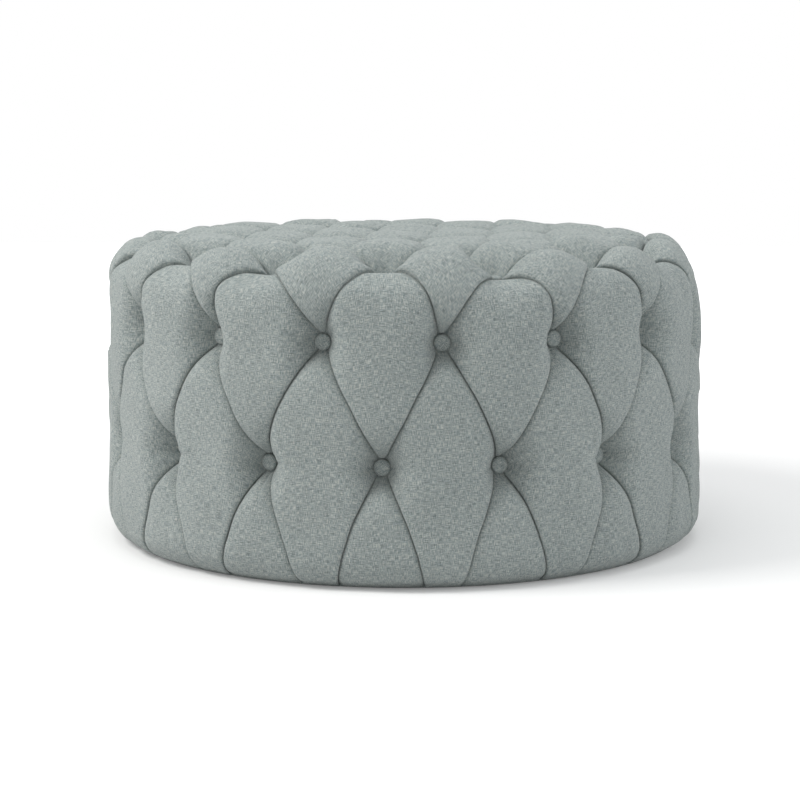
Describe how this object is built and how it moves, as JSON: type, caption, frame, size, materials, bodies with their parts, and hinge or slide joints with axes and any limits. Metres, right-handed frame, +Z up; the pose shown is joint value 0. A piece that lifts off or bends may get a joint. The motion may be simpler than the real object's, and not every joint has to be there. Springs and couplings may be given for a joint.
{
  "type": "ottoman coffee table",
  "caption": "Round drum-shaped ottoman coffee table, deep-buttoned in diamonds over its whole top and side, in linen-look cloth with covered buttons.",
  "frame": {"origin": "on the floor under the middle of the drum", "axes": "+Z up; the front of the picture faces -Y"},
  "size_m": [0.9, 0.9, 0.458],
  "materials": {
    "linen": "heathered grey-green plain weave",
    "foam": "open-cell upholstery foam",
    "plywood": "bare birch plywood",
    "softwood": "sawn pine",
    "hardboard": "bent hardboard, smooth side out",
    "beech": "turned beech, unfinished",
    "twine": "waxed linen tufting twine",
    "cambric": "black spunbond dust cloth",
    "nylon": "moulded black nylon"
  },
  "bodies": {
    "root": {"tufted_cover": "linen", "top_buttons": "linen", "rim_buttons": "linen", "upper_buttons": "linen", "lower_buttons": "linen", "top_foam": "foam", "top_deck": "plywood", "side_wall": "hardboard", "base_ring": "plywood", "mid_hoop": "plywood", "posts": "softwood", "post_blocks": "softwood", "deck_battens": "softwood", "top_twines": "twine", "rim_twines": "twine", "upper_twines": "twine", "lower_twines": "twine", "top_toggles": "beech", "rim_toggles": "beech", "upper_toggles": "beech", "lower_toggles": "beech", "dust_cover": "cambric", "glides": "nylon"}
  },
  "joints": []
}
